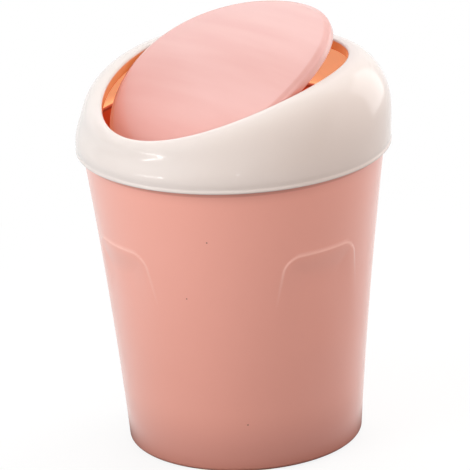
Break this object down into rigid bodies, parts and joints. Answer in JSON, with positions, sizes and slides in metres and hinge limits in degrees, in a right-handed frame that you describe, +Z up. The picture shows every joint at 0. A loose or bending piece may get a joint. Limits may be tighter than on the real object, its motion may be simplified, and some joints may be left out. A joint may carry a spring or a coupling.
{
  "type": "countertop trash can with swing lid",
  "caption": "Small tapered countertop bin with a lift-off collar whose dipped oval mouth holds a rocking lid on two moulded pivot pins.",
  "frame": {"origin": "centre of the base, on the plane the foot ring stands on", "axes": "+Z up along the bucket's axis, +X along the lid's pivot axis, -Y towards the low front of the mouth"},
  "size_m": [0.134, 0.1347, 0.1822],
  "materials": {
    "bucket_plastic": "satin pink moulded plastic",
    "collar_plastic": "glossy warm white moulded plastic",
    "lid_plastic": "glossy light pink moulded plastic"
  },
  "bodies": {
    "bucket": {"bucket": "bucket_plastic"},
    "collar": {"collar": "collar_plastic"},
    "lid": {"swing_lid": "lid_plastic"}
  },
  "joints": [
    {"name": "collar_lift", "type": "slide", "parent": "bucket", "child": "collar", "axis": [0, 0, 1], "range_m": [0, 0.06]},
    {"name": "lid_swing", "type": "hinge", "parent": "collar", "child": "lid", "pos_m": [0, -0.00073, 0.15253], "axis": [1, 0, 0], "range_deg": [-63.8, 26.2]}
  ]
}
